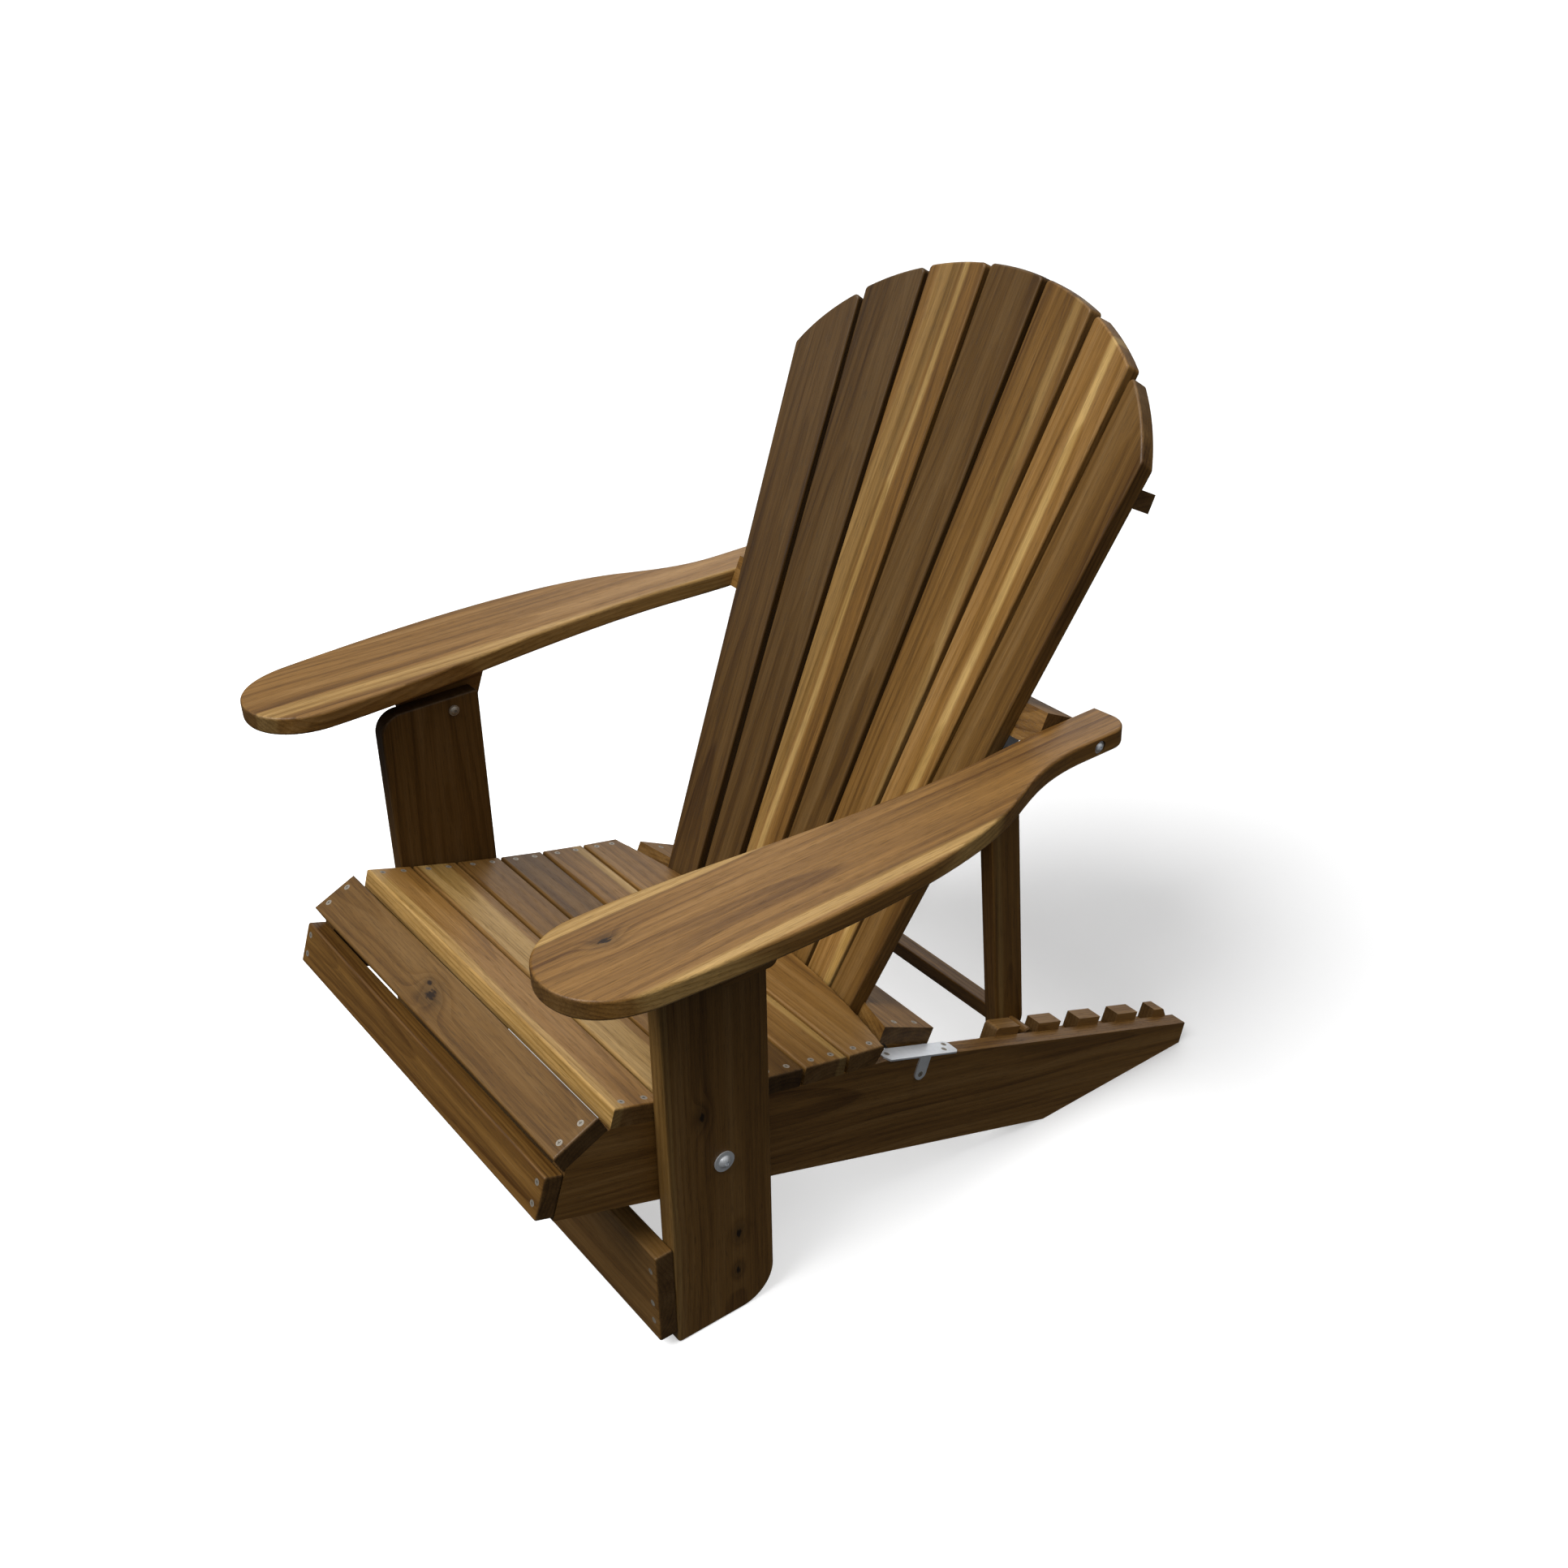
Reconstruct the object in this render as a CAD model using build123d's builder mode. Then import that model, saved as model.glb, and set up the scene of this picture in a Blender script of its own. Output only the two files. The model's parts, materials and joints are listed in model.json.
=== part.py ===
"""Reclining adirondack chair: seat frame, swinging front legs, arms, fan back and prop frame.

Frame of the model: millimetres, +Z up, the chair faces -Y, X runs across the seat.
The origin is on the floor, under the middle of the chair's outline.  "left" is the
sitter's left, which is +X.
"""
import math
import os

from build123d import *

os.makedirs("parts", exist_ok=True)

# ---------------------------------------------------------------- boards and clearances
BOARD = 21.0            # thickness of the frame boards
SLAT_THICK = 19.0       # thickness of the back slats
EDGE = 2.5              # rounding along the edges of the boards
RUB_GAP = 0.5           # room between boards of different bodies that rub together
BOLT_FIT = 0.05         # radial running fit of a pivot bolt in its hole
SIDES = (("left", 1), ("right", -1))

# ---------------------------------------------------------------- seat frame, side profile (Y, Z)
SEAT_HALF = 262.5       # outer face of the stringers, and the ends of the seat slats
STRINGER_IN = SEAT_HALF - BOARD
HEEL = (449.7, 0.0)
TIP = (457.0, 27.4)
HUMP = (-31.6, 208.0)   # where the seat ends and the straight rear slope starts
SEAT_DIP = (-197.8, 244.6)
SEAT_FRONT = (-366.8, 293.6)
NOSE = (-414.5, 271.7)
TOE = (-432.7, 217.7)
FOOT_FRONT = (214.8, 0.0)
REAR_ANGLE = math.degrees(math.atan2(HUMP[1] - TIP[1], TIP[0] - HUMP[0]))
NOSE_ANGLE = math.degrees(math.atan2(SEAT_FRONT[1] - NOSE[1], SEAT_FRONT[0] - NOSE[0]))
TOE_LEAN = math.degrees(math.atan2(NOSE[0] - TOE[0], NOSE[1] - TOE[1]))

# ---------------------------------------------------------------- pivots (Y, Z)
LEG_PIVOT = (-254.3, 208.9)
ARM_PIVOT = (-229.7, 473.7)
TAIL_PIVOT = (197.0, 529.0)
BACK_PIVOT = (19.0, 179.3)
LEG_BOLT_R = 4.0
ARM_BOLT_R = 3.0
TAIL_BOLT_R = 3.0
PIN_R = 5.0
TAIL_PLAY = 0.6         # radial room round the arm's tail bolt, where the linkage is open

# ---------------------------------------------------------------- seat slats
SLAT_COUNT = 7
SLAT_PITCH = 58.3       # along the curve of the seat
SLAT_WIDTH = 54.0
NOSE_WIDTH = 55.0
LAST_DEPTH = 47.0       # front to rear at the ends of the last slat
LAST_BULGE = 34.0       # how much further its rear edge reaches in the middle

# ---------------------------------------------------------------- apron
APRON_LOW = 3.5         # the apron starts this far above the stringers' lower corner
APRON_HIGH = 48.0

# ---------------------------------------------------------------- front legs and cross board
LEG_IN = SEAT_HALF + RUB_GAP
LEG_OUT = LEG_IN + BOARD
LEG_FRONT = -318.0
LEG_REAR = -197.0
LEG_TOP = 490.0
CROSS_LOW = 16.0
CROSS_HIGH = 129.0

# ---------------------------------------------------------------- arms
ARM_SLOPE = 1.3         # degrees, higher at the rear
ARM_TOP = 535.9         # height of the top face above the origin
ARM_THICK = 21.0
ARM_TAIL_IN = 267.0
ARM_TAIL_OUT = 318.0
ARM_EDGE = 3.0

# ---------------------------------------------------------------- back
BACK_FOOT = (-29.7, 191.0)   # the front of the outer slats at their foot (Y, Z)
BACK_ANGLE = 64.0            # from the floor
BACK_HALF = 177.3            # half width of the fan at its foot
FAN = 0.15                   # half width gained per unit of height along the back
HOLLOW = 26.7                # how far the middle of the back lies behind its sides
SLAT_GAP = 7.0
SLAT_FOOT = 18.0
HEAD_LEVEL = 593.0           # where the rounded head begins
HEAD_WIDE = 296.0
HEAD_HIGH = 234.0
LOW_RAIL = (22.0, 42.0)
MID_RAIL = (378.0, 416.0)
TOP_RAIL = (634.0, 654.0)
MID_RAIL_HALF = ARM_TAIL_IN - RUB_GAP
HEAD_CORNER = 5.5            # rounding of each slat's two corners at the head
LOW_REAR = 76.0              # depth of the lower rail's rear face behind the sides of the back
MID_REAR = 67.0
TOP_DEEP = 26.0              # front to rear, the bowed batten
TOP_HALF = 272.0
LOW_HALF = STRINGER_IN - 3.0
LET_IN = 1.0                 # the slats' rear faces are let into the rails by this much
SLAT_SCREW_HOLD = 5.0        # wood left in front of each screw's point
BLOCK_THICK = 24.0
BLOCK_R = 11.0
PIN_IN = 216.0               # inner end of the back's pivot pins

# ---------------------------------------------------------------- rack and prop frame
DOWEL_Y = 203.3         # where the prop frame's dowels rest in the first notch
NOTCH_AT = -3.5         # middle of the first notch, along the slope from DOWEL_Y
NOTCH_PITCH = 72.0
NOTCH_WIDTH = 34.0
NOTCH_COUNT = 4
TOOTH_RISE = 10.0       # teeth above the top of the stringer
NOTCH_DROP = 10.0       # notch bottoms below the top of the stringer
RACK_LOW = 27.0
RACK_THICK = 20.0
RACK_END_CUT = 22.0     # slope of the last tooth's rear end
LAST_TOOTH = 40.0
DOWEL_R = 7.0
DOWEL_HOLD = 32.0       # how far each dowel reaches into the bar
DOWEL_LIFT = 0.3        # room under a dowel in its notch
PROP_PIVOT = (170.0, 487.0)
PROP_OUT = 210.0
PROP_THICK = 20.0
PROP_HALF_WIDTH = 20.5
BAR_SIZE = (18.0, 22.0)

# ---------------------------------------------------------------- metal fittings
SCREW_HEAD_R = 3.5
HEAD_BORE_R = 7.5       # counterbore of an arm's tail bolt
HEAD_BORE_DEEP = 4.5
CLEAT_SCREW_Y = (-252.0, -214.0)
CLEAT_SCREW_Z = 474.0   # their heads sit this high, in counterbores from under the cleat
CLEAT_BORE_R = 4.2
KEEPER_T = 2.0
KEEPER_FROM = -30.0
KEEPER_TO = 72.0
KEEPER_SCREW_AT = (9.0, 92.0, 100.0)    # distances from the keeper's front end
TAB_AT = 57.5           # middle of the tab along the keeper
TAB_WIDE = 16.0
TAB_LONG = 30.0
CLEVIS_T = 2.0
CLEVIS_GAP = 0.4
CLEVIS_BASE = (33.0, 65.0)      # depths that its base covers under the middle rail
CLEVIS_FLANGE = 20.0
CLEVIS_EYE_R = 9.0
HINGE_PIN_R = 4.0


def side_plane(x):
    """Sketch plane parallel to the chair's sides: local x is +Y, local y is +Z."""
    return Plane.YZ.offset(x)


def between(x_low, x_high, sign):
    """Lower X and the width of a board that spans x_low to x_high on one side."""
    start = x_low if sign > 0 else -x_high
    return start, x_high - x_low


def rear_top(y):
    """Height of the stringer's straight rear slope."""
    return HUMP[1] - (y - HUMP[0]) * math.tan(math.radians(REAR_ANGLE))


def seat_curve():
    """The dished top edge of the stringer, as a circle: centre and radius."""
    (y1, z1), (y2, z2), (y3, z3) = SEAT_FRONT, SEAT_DIP, HUMP
    d = 2 * (y1 * (z2 - z3) + y2 * (z3 - z1) + y3 * (z1 - z2))
    s1, s2, s3 = y1 * y1 + z1 * z1, y2 * y2 + z2 * z2, y3 * y3 + z3 * z3
    cy = (s1 * (z2 - z3) + s2 * (z3 - z1) + s3 * (z1 - z2)) / d
    cz = (s1 * (y3 - y2) + s2 * (y1 - y3) + s3 * (y2 - y1)) / d
    return cy, cz, math.hypot(y1 - cy, z1 - cz)


CURVE_Y, CURVE_Z, CURVE_R = seat_curve()
CURVE_START = math.atan2(SEAT_FRONT[1] - CURVE_Z, SEAT_FRONT[0] - CURVE_Y)


def on_seat(distance, rise=0.0):
    """Point (Y, Z) and slope at a distance along the seat's curve from its front."""
    angle = CURVE_START + distance / CURVE_R
    radius = CURVE_R - rise
    y = CURVE_Y + radius * math.cos(angle)
    z = CURVE_Z + radius * math.sin(angle)
    return y, z, math.degrees(angle) + 90.0


def back_plane(depth=0.0):
    """Plane of the back: local x is +X, local y runs up the back, +z out of its front."""
    up = Vector(0, math.cos(math.radians(BACK_ANGLE)), math.sin(math.radians(BACK_ANGLE)))
    normal = Vector(1, 0, 0).cross(up)
    return Plane(origin=Vector(0, *BACK_FOOT) - normal * depth, x_dir=(1, 0, 0), z_dir=normal)


def hollow(step):
    """Depth of the front of the back behind its sides, at a place across the fan."""
    return HOLLOW * (1 - (step / 3.5) ** 2)


def slat_plane(step):
    """Front face of a back slat, with its origin at the slat's foot line."""
    base = back_plane(hollow(step))
    lean = FAN * step / 3.5
    twist = math.atan2(-2 * HOLLOW * step / 3.5 ** 2, (BACK_HALF + FAN * 400) / 3.5)
    up = (base.y_dir + base.x_dir * lean).normalized()
    across = base.x_dir * math.cos(twist) - base.z_dir * math.sin(twist)
    normal = across.cross(up).normalized()
    origin = base.origin + base.x_dir * (BACK_HALF * step / 3.5)
    return Plane(origin=origin, x_dir=up.cross(normal), z_dir=normal)


def finish(builder, name):
    """Label a finished piece and write its file."""
    builder.part.label = name
    export_step(builder.part, f"parts/{name}.step")


def screw(head_r=SCREW_HEAD_R, shank_r=2.0, length=34.0, recess=True):
    """Countersunk wood screw, its head flush with z = 0 and its point towards -z."""
    with BuildPart() as one:
        with BuildSketch(Plane.XZ):
            with BuildLine():
                Polyline((0, 0), (head_r, 0), (head_r, -0.6), (shank_r, -3.2),
                         (shank_r, 5 - length), (0, -length), close=True)
            make_face()
        revolve(axis=Axis.Z)
        if recess:
            with BuildSketch(Plane.XY):
                Rectangle(0.8, 3.6)
                Rectangle(3.6, 0.8)
            extrude(amount=-1.2, mode=Mode.SUBTRACT)
    return one.part


def screw_group(places, **sizes):
    """Screws at a list of (plane, length), and the same screws plain, to cut their holes."""
    builders = []
    for recess in (True, False):
        with BuildPart() as group:
            for place, length in places:
                with Locations(place):
                    add(screw(length=length, recess=recess, **sizes))
        builders.append(group)
    return builders


def washer_bolt(shank_r, head_r, head_h, washer_r, length):
    """Dome-headed bolt with its washer: the washer's seat is z = 0, the shank points to -z."""
    washer_t = 1.6
    top = washer_t + head_h
    dome_r = (head_r ** 2 + head_h ** 2) / (2 * head_h)
    half_angle = math.asin(head_r / dome_r) / 2
    halfway = (dome_r * math.sin(half_angle), top - dome_r * (1 - math.cos(half_angle)))
    with BuildPart() as bolt:
        with BuildSketch(Plane.XZ):
            with BuildLine():
                Polyline((0, top), (0, -length), (shank_r, -length), (shank_r, 0), (washer_r, 0),
                         (washer_r, washer_t), (head_r, washer_t))
                ThreePointArc((head_r, washer_t), halfway, (0, top))
            make_face()
        revolve(axis=Axis.Z)
        with BuildSketch(Plane.XY.offset(washer_t + 0.4 * head_h)):
            RegularPolygon(head_r * 0.38, 6)
        extrude(amount=head_h, mode=Mode.SUBTRACT)
    return bolt.part


def hex_nut(across, height, hole_r):
    """Nut standing on z = 0."""
    with BuildPart() as nut:
        with BuildSketch():
            RegularPolygon(across / 2, 6, major_radius=False)
            Circle(hole_r, mode=Mode.SUBTRACT)
        extrude(amount=height)
    return nut.part


def facing(x, yz, sign):
    """Plane at a point of a side face, its +z pointing away from the chair's middle."""
    return Plane(origin=(sign * x, *yz), x_dir=(0, 1, 0), z_dir=(sign, 0, 0))


# ================================================================ screws, one node for each kind
def seat_slat_place(index):
    """Plane on a seat slat's top face, centred on its width; local x is across the seat."""
    if index == 0:
        tilt = math.radians(NOSE_ANGLE)
        y = (SEAT_FRONT[0] + NOSE[0]) / 2 - BOARD * math.sin(tilt) - 2.0 * math.cos(tilt)
        z = (SEAT_FRONT[1] + NOSE[1]) / 2 + BOARD * math.cos(tilt) - 2.0 * math.sin(tilt)
        slope = NOSE_ANGLE
    else:
        width = LAST_DEPTH if index == SLAT_COUNT - 1 else SLAT_WIDTH
        start = 2.0 + (index - 1) * SLAT_PITCH
        y, z, slope = on_seat(start + width / 2, BOARD + width ** 2 / (8 * CURVE_R) + 0.02)
    along = Vector(0, math.cos(math.radians(slope)), math.sin(math.radians(slope)))
    return Plane(origin=(0, y, z), x_dir=(1, 0, 0), z_dir=Vector(1, 0, 0).cross(along))


SCREW_X = SEAT_HALF - BOARD / 2
seat_screw_places = []
for index in range(SLAT_COUNT):
    spread = 11.0 if index == SLAT_COUNT - 1 else 13.0
    four = [seat_slat_place(index) * Location((x, y, 0))
            for x in (-SCREW_X, SCREW_X) for y in (-spread, spread)]
    seat_screw_places.append([(place, 34.0) for place in four])
seat_screws, seat_holes = screw_group(sum(seat_screw_places, []))
finish(seat_screws, "seat_screws")

toe_dir = Vector(0, math.sin(math.radians(TOE_LEAN)), math.cos(math.radians(TOE_LEAN)))
apron_plane = Plane(origin=Vector(0, *TOE) + toe_dir * APRON_LOW, x_dir=(1, 0, 0),
                    z_dir=Vector(1, 0, 0).cross(toe_dir))
apron_screws, apron_holes = screw_group(
    [(apron_plane.offset(BOARD) * Location((x, y, 0)), 40.0)
     for x in (-SCREW_X, SCREW_X) for y in (14.0, 37.0)])
finish(apron_screws, "apron_screws")

cross_plane = Plane(origin=(0, LEG_FRONT - BOARD, 0), x_dir=(1, 0, 0), z_dir=(0, -1, 0))
CROSS_SCREW_AT = (CROSS_LOW + 22, CROSS_LOW + 46, CROSS_HIGH - 24)
leg_middle = LEG_IN + BOARD / 2
cross_board_screws, cross_board_holes = screw_group(
    [(cross_plane * Location((x, z, 0)), 45.0)
     for x in (-leg_middle, leg_middle) for z in CROSS_SCREW_AT])
finish(cross_board_screws, "cross_board_screws")

# ================================================================ seat frame
leg_bolt = washer_bolt(LEG_BOLT_R, 7.0, 4.5, 11.5, 2 * BOARD + RUB_GAP + 0.3 + 14.0)
with BuildPart() as leg_bolts:
    for side, sign in SIDES:
        with Locations(facing(LEG_OUT + 0.3, LEG_PIVOT, sign)):
            add(leg_bolt)
finish(leg_bolts, "leg_bolts")

with BuildPart() as leg_bolt_nuts:
    for side, sign in SIDES:
        with Locations(facing(STRINGER_IN - 8.0, LEG_PIVOT, sign)):
            add(hex_nut(13.0, 8.0, LEG_BOLT_R))
finish(leg_bolt_nuts, "leg_bolt_nuts")

slope_dir = Plane(origin=(0, DOWEL_Y, rear_top(DOWEL_Y)),
                  x_dir=(0, math.cos(math.radians(REAR_ANGLE)), -math.sin(math.radians(REAR_ANGLE))),
                  z_dir=(1, 0, 0))
RACK_SCREW_AT = (-39.5, 104.5, 240.0)
rack_screw_places = []
for side, sign in SIDES:
    for along in RACK_SCREW_AT:
        spot = slope_dir.from_local_coords(Vector(along, -18.0, 0))
        rack_screw_places.append((facing(STRINGER_IN - RACK_THICK, (spot.Y, spot.Z), sign)
                                  * Location((0, 0, 0), (180, 0, 0)), 34.0))
rack_screws, rack_holes = screw_group(rack_screw_places)
finish(rack_screws, "rack_screws")

KEEPER_SCREW_X = (SCREW_X, SCREW_X + 4.5, SCREW_X - 4.5)
keeper_slope = Plane(origin=(0, KEEPER_FROM, rear_top(KEEPER_FROM)),
                     x_dir=slope_dir.x_dir, z_dir=(1, 0, 0))
KEEPER_LONG = (KEEPER_TO - KEEPER_FROM) / math.cos(math.radians(REAR_ANGLE))


def keeper_top(sign):
    """Plane on the keeper's top face: local x runs rearwards along it, local y inwards."""
    origin = keeper_slope.origin + keeper_slope.y_dir * KEEPER_T
    inward = Vector(-sign, 0, 0)
    return Plane(origin=origin + Vector(sign * SEAT_HALF, 0, 0), x_dir=keeper_slope.x_dir,
                 z_dir=Vector(keeper_slope.x_dir).cross(inward))


keeper_screw_places = []
for side, sign in SIDES:
    for along, x in zip(KEEPER_SCREW_AT, KEEPER_SCREW_X):
        spot = keeper_slope.from_local_coords(Vector(along, KEEPER_T, 0))
        keeper_screw_places.append((Plane(origin=(sign * x, spot.Y, spot.Z), x_dir=(1, 0, 0),
                                          z_dir=keeper_slope.y_dir), 22.0))
    spot = keeper_slope.from_local_coords(Vector(TAB_AT, KEEPER_T - TAB_LONG + 7.0, 0))
    keeper_screw_places.append((facing(SEAT_HALF + KEEPER_T, (spot.Y, spot.Z), sign), 16.0))
keeper_screws, keeper_holes = screw_group(keeper_screw_places, head_r=3.3, shank_r=1.8)
finish(keeper_screws, "keeper_screws")

for side, sign in SIDES:
    start, width = between(STRINGER_IN, SEAT_HALF, sign)
    with BuildPart() as stringer:
        with BuildSketch(side_plane(start)) as profile:
            with BuildLine():
                Line(FOOT_FRONT, HEEL)
                Line(HEEL, TIP)
                Line(TIP, HUMP)
                ThreePointArc(HUMP, SEAT_DIP, SEAT_FRONT)
                Polyline(SEAT_FRONT, NOSE, TOE, FOOT_FRONT)
            make_face()
            corners = profile.vertices().sort_by(Axis.Y)
            fillet(corners[-1], 15.0)
            with Locations(LEG_PIVOT):
                Circle(LEG_BOLT_R, mode=Mode.SUBTRACT)
            with Locations(BACK_PIVOT):
                Circle(PIN_R + BOLT_FIT, mode=Mode.SUBTRACT)
            with Locations(Location((*BACK_PIVOT, 0), (0, 0, -REAR_ANGLE))):
                Rectangle(2 * (PIN_R + BOLT_FIT), 40.0, align=(Align.CENTER, Align.MIN),
                          mode=Mode.SUBTRACT)
        extrude(amount=width)
        for holes in (seat_holes, apron_holes, rack_holes, keeper_holes):
            add(holes.part, mode=Mode.SUBTRACT)
    finish(stringer, f"stringer_{side}")

for side, sign in SIDES:
    start, width = between(STRINGER_IN - RACK_THICK, STRINGER_IN, sign)
    rack_plane = Plane(origin=(start, slope_dir.origin.Y, slope_dir.origin.Z),
                       x_dir=slope_dir.x_dir, z_dir=(1, 0, 0))
    first = NOTCH_AT - NOTCH_PITCH + NOTCH_WIDTH / 2
    last = NOTCH_AT + (NOTCH_COUNT - 1) * NOTCH_PITCH + NOTCH_WIDTH / 2 + LAST_TOOTH
    with BuildPart() as rack:
        with BuildSketch(rack_plane) as comb:
            with BuildLine():
                Polyline((first, -RACK_LOW), (last - 6, -RACK_LOW), (last, -RACK_LOW + 12),
                         (last - RACK_END_CUT, TOOTH_RISE), (first, TOOTH_RISE), close=True)
            make_face()
            fillet(comb.vertices().group_by(Axis.Y)[-1], 5.0)
            for notch in range(NOTCH_COUNT):
                with Locations((NOTCH_AT + notch * NOTCH_PITCH, -NOTCH_DROP)):
                    Rectangle(NOTCH_WIDTH, 40.0, align=(Align.CENTER, Align.MIN),
                              mode=Mode.SUBTRACT)
        extrude(amount=width)
        add(rack_holes.part, mode=Mode.SUBTRACT)
    finish(rack, f"rack_{side}")

for index in range(SLAT_COUNT):
    place = seat_slat_place(index)
    wide = NOSE_WIDTH if index == 0 else LAST_DEPTH if index == SLAT_COUNT - 1 else SLAT_WIDTH
    half = wide / 2
    with BuildPart() as slat:
        with BuildSketch(place.offset(-BOARD)):
            with BuildLine():
                Polyline((-SEAT_HALF, half), (-SEAT_HALF, -half), (SEAT_HALF, -half),
                         (SEAT_HALF, half))
                if index == SLAT_COUNT - 1:
                    ThreePointArc((SEAT_HALF, half), (0, half + LAST_BULGE), (-SEAT_HALF, half))
                else:
                    Line((SEAT_HALF, half), (-SEAT_HALF, half))
            make_face()
        extrude(amount=BOARD)
        upper = slat.edges().filter_by(lambda e: place.to_local_coords(e.center()).Z > -0.1)
        fillet(upper, EDGE)
        if index == SLAT_COUNT - 1:
            rear_low = slat.edges().filter_by(
                lambda e: place.to_local_coords(e.center()).Z < -BOARD + 0.1
                and place.to_local_coords(e.center()).Y > half)
            rear_face = slat.faces().sort_by(lambda f: place.to_local_coords(f.center()).Y)[-1]
            chamfer(rear_low, 16.0, 8.0, reference=rear_face)
        for spot, length in seat_screw_places[index]:
            with Locations(spot):
                add(screw(length=length, recess=False), mode=Mode.SUBTRACT)
    finish(slat, f"seat_slat_{index + 1}")

with BuildPart() as apron:
    with BuildSketch(apron_plane):
        with Locations((0, APRON_HIGH / 2)):
            Rectangle(2 * SEAT_HALF, APRON_HIGH)
    extrude(amount=BOARD)
    fillet(apron.edges(), EDGE)
    add(apron_holes.part, mode=Mode.SUBTRACT)
finish(apron, "front_apron")

for side, sign in SIDES:
    start, width = between(STRINGER_IN + 0.5, SEAT_HALF + KEEPER_T, sign)
    top = keeper_top(sign)
    with BuildPart() as keeper:
        with BuildSketch(top):
            with BuildLine():
                Polyline((0, 5.0), (5.0, -KEEPER_T), (KEEPER_LONG - 4.0, -KEEPER_T),
                         (KEEPER_LONG, 2.0), (KEEPER_LONG, BOARD - 4.5),
                         (KEEPER_LONG - 4.0, BOARD - 0.5), (0, BOARD - 0.5), close=True)
            make_face()
        extrude(amount=KEEPER_T, dir=-keeper_slope.y_dir)
        tab_start, tab_width = between(SEAT_HALF, SEAT_HALF + KEEPER_T, sign)
        tab_origin = keeper_slope.from_local_coords(Vector(TAB_AT, KEEPER_T, 0))
        tab_plane = Plane(origin=(tab_start, tab_origin.Y, tab_origin.Z),
                          x_dir=keeper_slope.x_dir, z_dir=(1, 0, 0))
        with BuildSketch(tab_plane):
            with Locations((0, -(TAB_LONG - TAB_WIDE / 2) / 2)):
                Rectangle(TAB_WIDE, TAB_LONG - TAB_WIDE / 2)
            with Locations((0, -(TAB_LONG - TAB_WIDE / 2))):
                Circle(TAB_WIDE / 2)
        extrude(amount=tab_width)
        add(keeper_holes.part, mode=Mode.SUBTRACT)
    finish(keeper, f"keeper_bracket_{side}")

# ================================================================ front legs
arm_bolt = washer_bolt(ARM_BOLT_R, 5.0, 2.4, 6.2, BOARD + RUB_GAP + BOARD + 10.0)
with BuildPart() as arm_pivot_bolts:
    for side, sign in SIDES:
        with Locations(facing(LEG_IN, ARM_PIVOT, sign) * Location((0, 0, 0), (180, 0, 0))):
            add(arm_bolt)
finish(arm_pivot_bolts, "arm_pivot_bolts")

CLEAT_IN = LEG_OUT + RUB_GAP
CLEAT_OUT = CLEAT_IN + BOARD
with BuildPart() as arm_pivot_nuts:
    for side, sign in SIDES:
        with Locations(facing(CLEAT_OUT + 0.3, ARM_PIVOT, sign)):
            add(hex_nut(10.0, 6.0, ARM_BOLT_R))
finish(arm_pivot_nuts, "arm_pivot_nuts")

for side, sign in SIDES:
    start, width = between(LEG_IN, LEG_OUT, sign)
    with BuildPart() as leg:
        with BuildSketch(side_plane(start)):
            with BuildLine():
                FilletPolyline((LEG_FRONT, 0), (LEG_REAR, 0), (LEG_REAR, LEG_TOP),
                               (LEG_FRONT, LEG_TOP), radius=(5.0, 40.0, 5.0, 25.0), close=True)
            make_face()
            with Locations(LEG_PIVOT):
                Circle(LEG_BOLT_R + BOLT_FIT, mode=Mode.SUBTRACT)
            with Locations(ARM_PIVOT):
                Circle(ARM_BOLT_R, mode=Mode.SUBTRACT)
        extrude(amount=width)
        rim = leg.edges().filter_by(lambda e: e.length > 20.0).group_by(Axis.X)
        fillet(rim[0] + rim[-1], EDGE)
        add(cross_board_holes.part, mode=Mode.SUBTRACT)
    finish(leg, f"front_leg_{side}")

with BuildPart() as cross_board:
    with BuildSketch(cross_plane.offset(-BOARD)):
        with Locations((0, (CROSS_LOW + CROSS_HIGH) / 2)):
            Rectangle(2 * LEG_OUT, CROSS_HIGH - CROSS_LOW)
    extrude(amount=BOARD)
    fillet(cross_board.edges(), EDGE)
    add(cross_board_holes.part, mode=Mode.SUBTRACT)
finish(cross_board, "leg_cross_board")

# ================================================================ arms and their cleats
arm_dir = Vector(0, math.cos(math.radians(ARM_SLOPE)), math.sin(math.radians(ARM_SLOPE)))
arm_plane = Plane(origin=(0, 0, ARM_TOP), x_dir=(1, 0, 0), z_dir=Vector(1, 0, 0).cross(arm_dir))
tail_head_at = ARM_TAIL_OUT - HEAD_BORE_DEEP + 0.6

cleat_holes = []
cleat_bores = []
for side, sign in SIDES:
    middle = sign * (CLEAT_IN + BOARD / 2)
    places = [(Plane(origin=(middle, y, CLEAT_SCREW_Z), x_dir=(1, 0, 0), z_dir=(0, 0, -1)), 50.0)
              for y in CLEAT_SCREW_Y]
    pair, holes = screw_group(places)
    with BuildPart() as bores:
        for place, length in places:
            with BuildSketch(place):
                Circle(CLEAT_BORE_R)
            extrude(amount=60.0)
    finish(pair, f"cleat_screws_{side}")
    cleat_holes.append(holes)
    cleat_bores.append(bores)

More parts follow.
